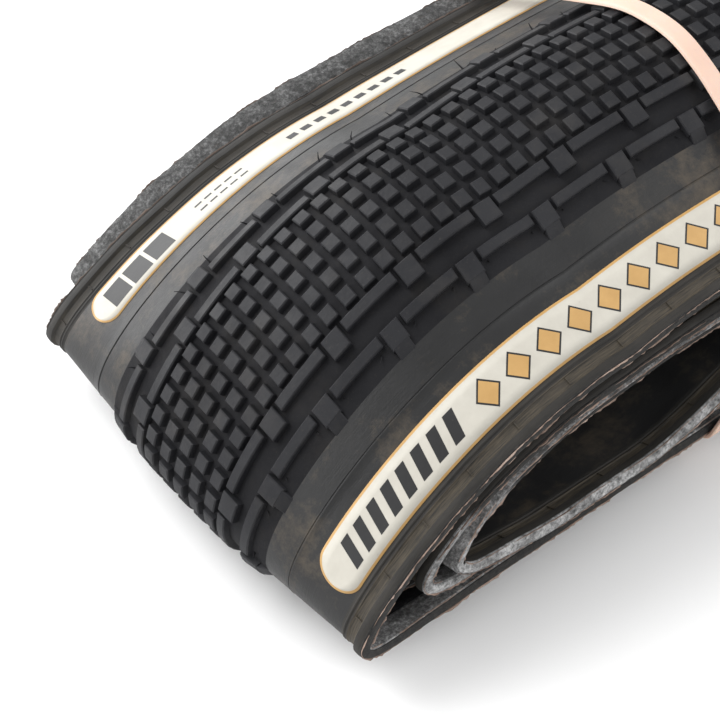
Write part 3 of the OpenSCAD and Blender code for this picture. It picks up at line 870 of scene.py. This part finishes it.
def patch(shapes, corners, n, cuts=4):
    """A small printed four-cornered mark, given by its corners in (s, t)."""
    c = np.array(corners, float)
    s, t = [], []
    for i in range(cuts + 1):
        for j in range(cuts + 1):
            u, v = i / cuts, j / cuts
            q = (c[0] * (1 - u) + c[1] * u) * (1 - v) + (c[3] * (1 - u) + c[2] * u) * v
            s.append(q[0])
            t.append(q[1])
    m = cuts + 1
    faces = [(i * m + j, i * m + j + 1, (i + 1) * m + j + 1, (i + 1) * m + j)
             for i in range(cuts) for j in range(cuts)]
    shapes.add(s, t, [n] * len(s), faces)


def oblong(shapes, s0, long, mid, half, cuts=4):
    """A dark printed rectangle that ends at s0."""
    patch(shapes, [(s0, mid - half), (s0 - long, mid - half), (s0 - long, mid + half), (s0, mid + half)],
          INK, cuts)


for side, sign, tip in (("near", -1, LABEL_TIP_NEAR), ("far", 1, LABEL_TIP_FAR)):
    lo, hi = sorted((sign * LABEL_IN, sign * LABEL_OUT))
    border, cream, black, gold = Shapes(), Shapes(), Shapes(), Shapes()
    pill(border, LABEL_FROM, tip, lo - 0.05, hi + 0.05, BORDER_TOP)
    pill(cream, LABEL_FROM + 0.6, tip - 0.6, lo + 0.55, hi - 0.55, FIELD_TOP)
    finished(border.build(f"label_border_{side}", mat_gold, None), "label_ink", f"label_{side}")
    finished(cream.build(f"label_field_{side}", mat_cream, None), "label_ink")
    mid = (lo + hi) / 2
    if side == "near":
        for k in range(8):                       # plain slanted bars
            s0 = tip - 9.0 - k * 5.6
            patch(black, [(s0, mid - 3.4), (s0 - 3.2, mid - 3.4), (s0 - 5.0, mid + 3.4),
                          (s0 - 1.8, mid + 3.4)], INK)
        for k in range(12):                      # plain diamonds with a dark outline
            s0 = tip - 62.0 - k * 9.5
            for shapes, r, level in ((black, 1.18, INK), (gold, 1.0, INK + 0.02)):
                patch(shapes, [(s0 - 3.3 * r, mid), (s0, mid - 3.5 * r), (s0 + 3.3 * r, mid),
                               (s0, mid + 3.5 * r)], level)
    else:
        for k in range(3):                       # plain dark squares
            oblong(black, tip - 7.0 - k * 8.6, 7.4, mid, 3.8)
        for row in (-1.6, 1.6):                  # two rows of plain dashes
            for k in range(5):
                oblong(black, tip - 42.0 - k * 3.4, 2.4, mid + row, 0.4, 1)
        for k in range(9):                       # a row of plain short bars
            oblong(black, tip - 72.0 - k * 4.4, 2.8, mid, 1.3, 2)
    finished(black.build(f"label_marks_dark_{side}", mat_black, None), "label_ink")
    if gold.faces:
        finished(gold.build(f"label_marks_gold_{side}", mat_gold, None), "label_ink")


# ---------------------------------------------------------------- the rubber band
BAND_X, BAND_W, BAND_T = -10.2, 5.2, 1.1            # place at y = z = 0, width and thickness
LEAN_Y, LEAN_Z = 0.06, 0.434                        # its x grows by this much per mm of y and z
# inner corners (y, z) of the loop, in the package's own coordinates
LOOP_IN = [(-22, 1.45), (24, 1.45), (66.8, 12.5), (75.6, 19.6), (71.3, 57.6), (70.2, 58.9), (62.6, 62.5),
           (16, 79.7), (8.5, 81.6), (0, 82.3), (-8.5, 81.6), (-16.4, 79.5), (-62.6, 62.5), (-66.5, 37.2),
           (-66.6, 32.7), (-62.5, 11.2), (-59.4, 10.2)]


def rounded(points, give=0.3, cuts=7):
    """The closed polygon with its corners rounded, each no deeper than give."""
    q = np.array(points, float)
    out = []
    for i in range(len(q)):
        a, b, c = q[i - 1], q[i], q[(i + 1) % len(q)]
        before, after = np.linalg.norm(a - b), np.linalg.norm(c - b)
        u, w = (a - b) / before, (c - b) / after
        half_turn = math.acos(max(-1, min(1, float(-u @ w)))) / 2
        cut = min(2 * give / max(math.sin(half_turn), 0.02), 0.48 * before, 0.48 * after)
        for f in np.linspace(0, 1, cuts):
            out.append((b + u * cut) * (1 - f) ** 2 + 2 * b * f * (1 - f) + (b + w * cut) * f * f)
    return np.array(out)


def rubber_band():
    inner = rounded(LOOP_IN)
    keep = np.linalg.norm(inner - np.roll(inner, 1, 0), axis=1) > 0.02
    inner = inner[keep]
    tangent = unit(np.roll(inner, -1, 0) - np.roll(inner, 1, 0))
    outward = np.stack([tangent[:, 1], -tangent[:, 0]], -1)
    travel = np.concatenate([[0], np.cumsum(np.linalg.norm(np.diff(inner, axis=0), axis=1))])
    # section: [share of width, share of thickness], with rounded edges
    section = [(-0.5, 0.2), (-0.5, 0.75), (-0.46, 0.95), (-0.3, 1.0), (0, 1.02), (0.3, 1.0), (0.46, 0.95),
               (0.5, 0.75), (0.5, 0.2), (0.46, 0.03), (0, 0.0), (-0.46, 0.03)]
    m, count = len(section), len(inner)
    pts, uv, faces = [], [], []
    for i in range(count):
        sway = 0.12 * math.sin(travel[i] * 0.11) + 0.06 * math.sin(travel[i] * 0.37)
        for w, h in section:
            y, z = inner[i] + outward[i] * (h * BAND_T)
            pts.append([BAND_X + LEAN_Y * y + LEAN_Z * z + w * BAND_W + sway, y, z])
    for i in range(count):
        k = (i + 1) % count
        for a in range(m):
            b = (a + 1) % m
            faces.append((i * m + a, i * m + b, k * m + b, k * m + a))
            uv += [(travel[i], a), (travel[i], b), (travel[i] + 1, b), (travel[i] + 1, a)]
    pts = np.array(pts) - ORIGIN
    obj = make_object("elastic_band", pts, faces, mat_band, "band", uv=np.array(uv) * UV_SCALE)
    return finished(obj, "band_rubber", "rubber_band")


rubber_band()


# ---------------------------------------------------------------- stage and light in metres, and the camera
def stage():
    size, cuts = 6.0, 8                     # half the floor's side; cells along it
    mesh = bpy.data.meshes.new("studio_floor")
    xs = np.linspace(-size, size, cuts + 1)
    pts = [(x, y, 0.0) for x in xs for y in xs]
    m = cuts + 1
    faces = [(i * m + j, (i + 1) * m + j, (i + 1) * m + j + 1, i * m + j + 1)
             for i in range(cuts) for j in range(cuts)]
    mesh.from_pydata(pts, [], faces)
    mesh.materials.append(stage_material())
    obj = bpy.data.objects.new("studio_floor", mesh)
    bpy.context.scene.collection.objects.link(obj)


def area_light(name, at, towards, size, energy):
    data = bpy.data.lights.new(name, "AREA")
    data.shape = "RECTANGLE"
    data.size, data.size_y = size
    data.energy = energy
    data.color = (1, 1, 1)
    obj = bpy.data.objects.new(name, data)
    obj.location = at
    obj.rotation_mode = "QUATERNION"
    obj.rotation_quaternion = (Vector(towards) - Vector(at)).to_track_quat("-Z", "Y")
    bpy.context.scene.collection.objects.link(obj)


stage()
# name, place, the point it faces, size and power in watts
area_light("top_softbox", (-0.45, 0.65, 1.0), (-0.05, 0, 0.04), (0.9, 0.7), 12.0)
area_light("back_softbox", (-0.35, 1.35, 0.32), (-0.08, 0, 0.05), (1.7, 0.55), 15.0)
area_light("right_fill", (0.75, -0.75, 0.7), (0.05, -0.12, 0.0), (1.2, 0.9), 8.0)
area_light("left_softbox", (-1.1, 0.3, 0.5), (-0.08, 0, 0.04), (0.8, 0.7), 2.5)

WORLD_STRENGTH = 0.66
world = bpy.data.worlds.new("studio_world")
world.use_nodes = True
world.node_tree.nodes["Background"].inputs["Color"].default_value = (1, 1, 1, 1)
world.node_tree.nodes["Background"].inputs["Strength"].default_value = WORLD_STRENGTH
bpy.context.scene.world = world
bpy.context.scene.view_settings.view_transform = "Standard"

# the photograph's camera; its target and distance are in millimetres, its lens and sensor too
AZIMUTH, ELEVATION, ROLL = math.radians(-37.69), math.radians(46.31), math.radians(-1.6)
TARGET = np.array([-74.4, -4.7, 34.5]) - ORIGIN
DISTANCE, LENS, SENSOR = 474.4, 98.75, 36.0
back = np.array([math.sin(AZIMUTH) * math.cos(ELEVATION), -math.cos(AZIMUTH) * math.cos(ELEVATION),
                 math.sin(ELEVATION)])
right = np.cross(-back, [0, 0, 1.0])
right /= np.linalg.norm(right)
up = np.cross(right, -back)
right, up = (math.cos(ROLL) * right + math.sin(ROLL) * up, -math.sin(ROLL) * right + math.cos(ROLL) * up)
cam_data = bpy.data.cameras.new("camera")
cam_data.sensor_width = SENSOR
cam_data.sensor_fit = "HORIZONTAL"
cam_data.lens = LENS
cam_data.clip_start, cam_data.clip_end = 0.02, 50.0
cam = bpy.data.objects.new("camera", cam_data)
eye = (TARGET + back * DISTANCE) * MM
cam.matrix_world = Matrix([[right[i], up[i], back[i], eye[i]] for i in range(3)] + [[0, 0, 0, 1]])
bpy.context.scene.collection.objects.link(cam)
bpy.context.scene.camera = cam
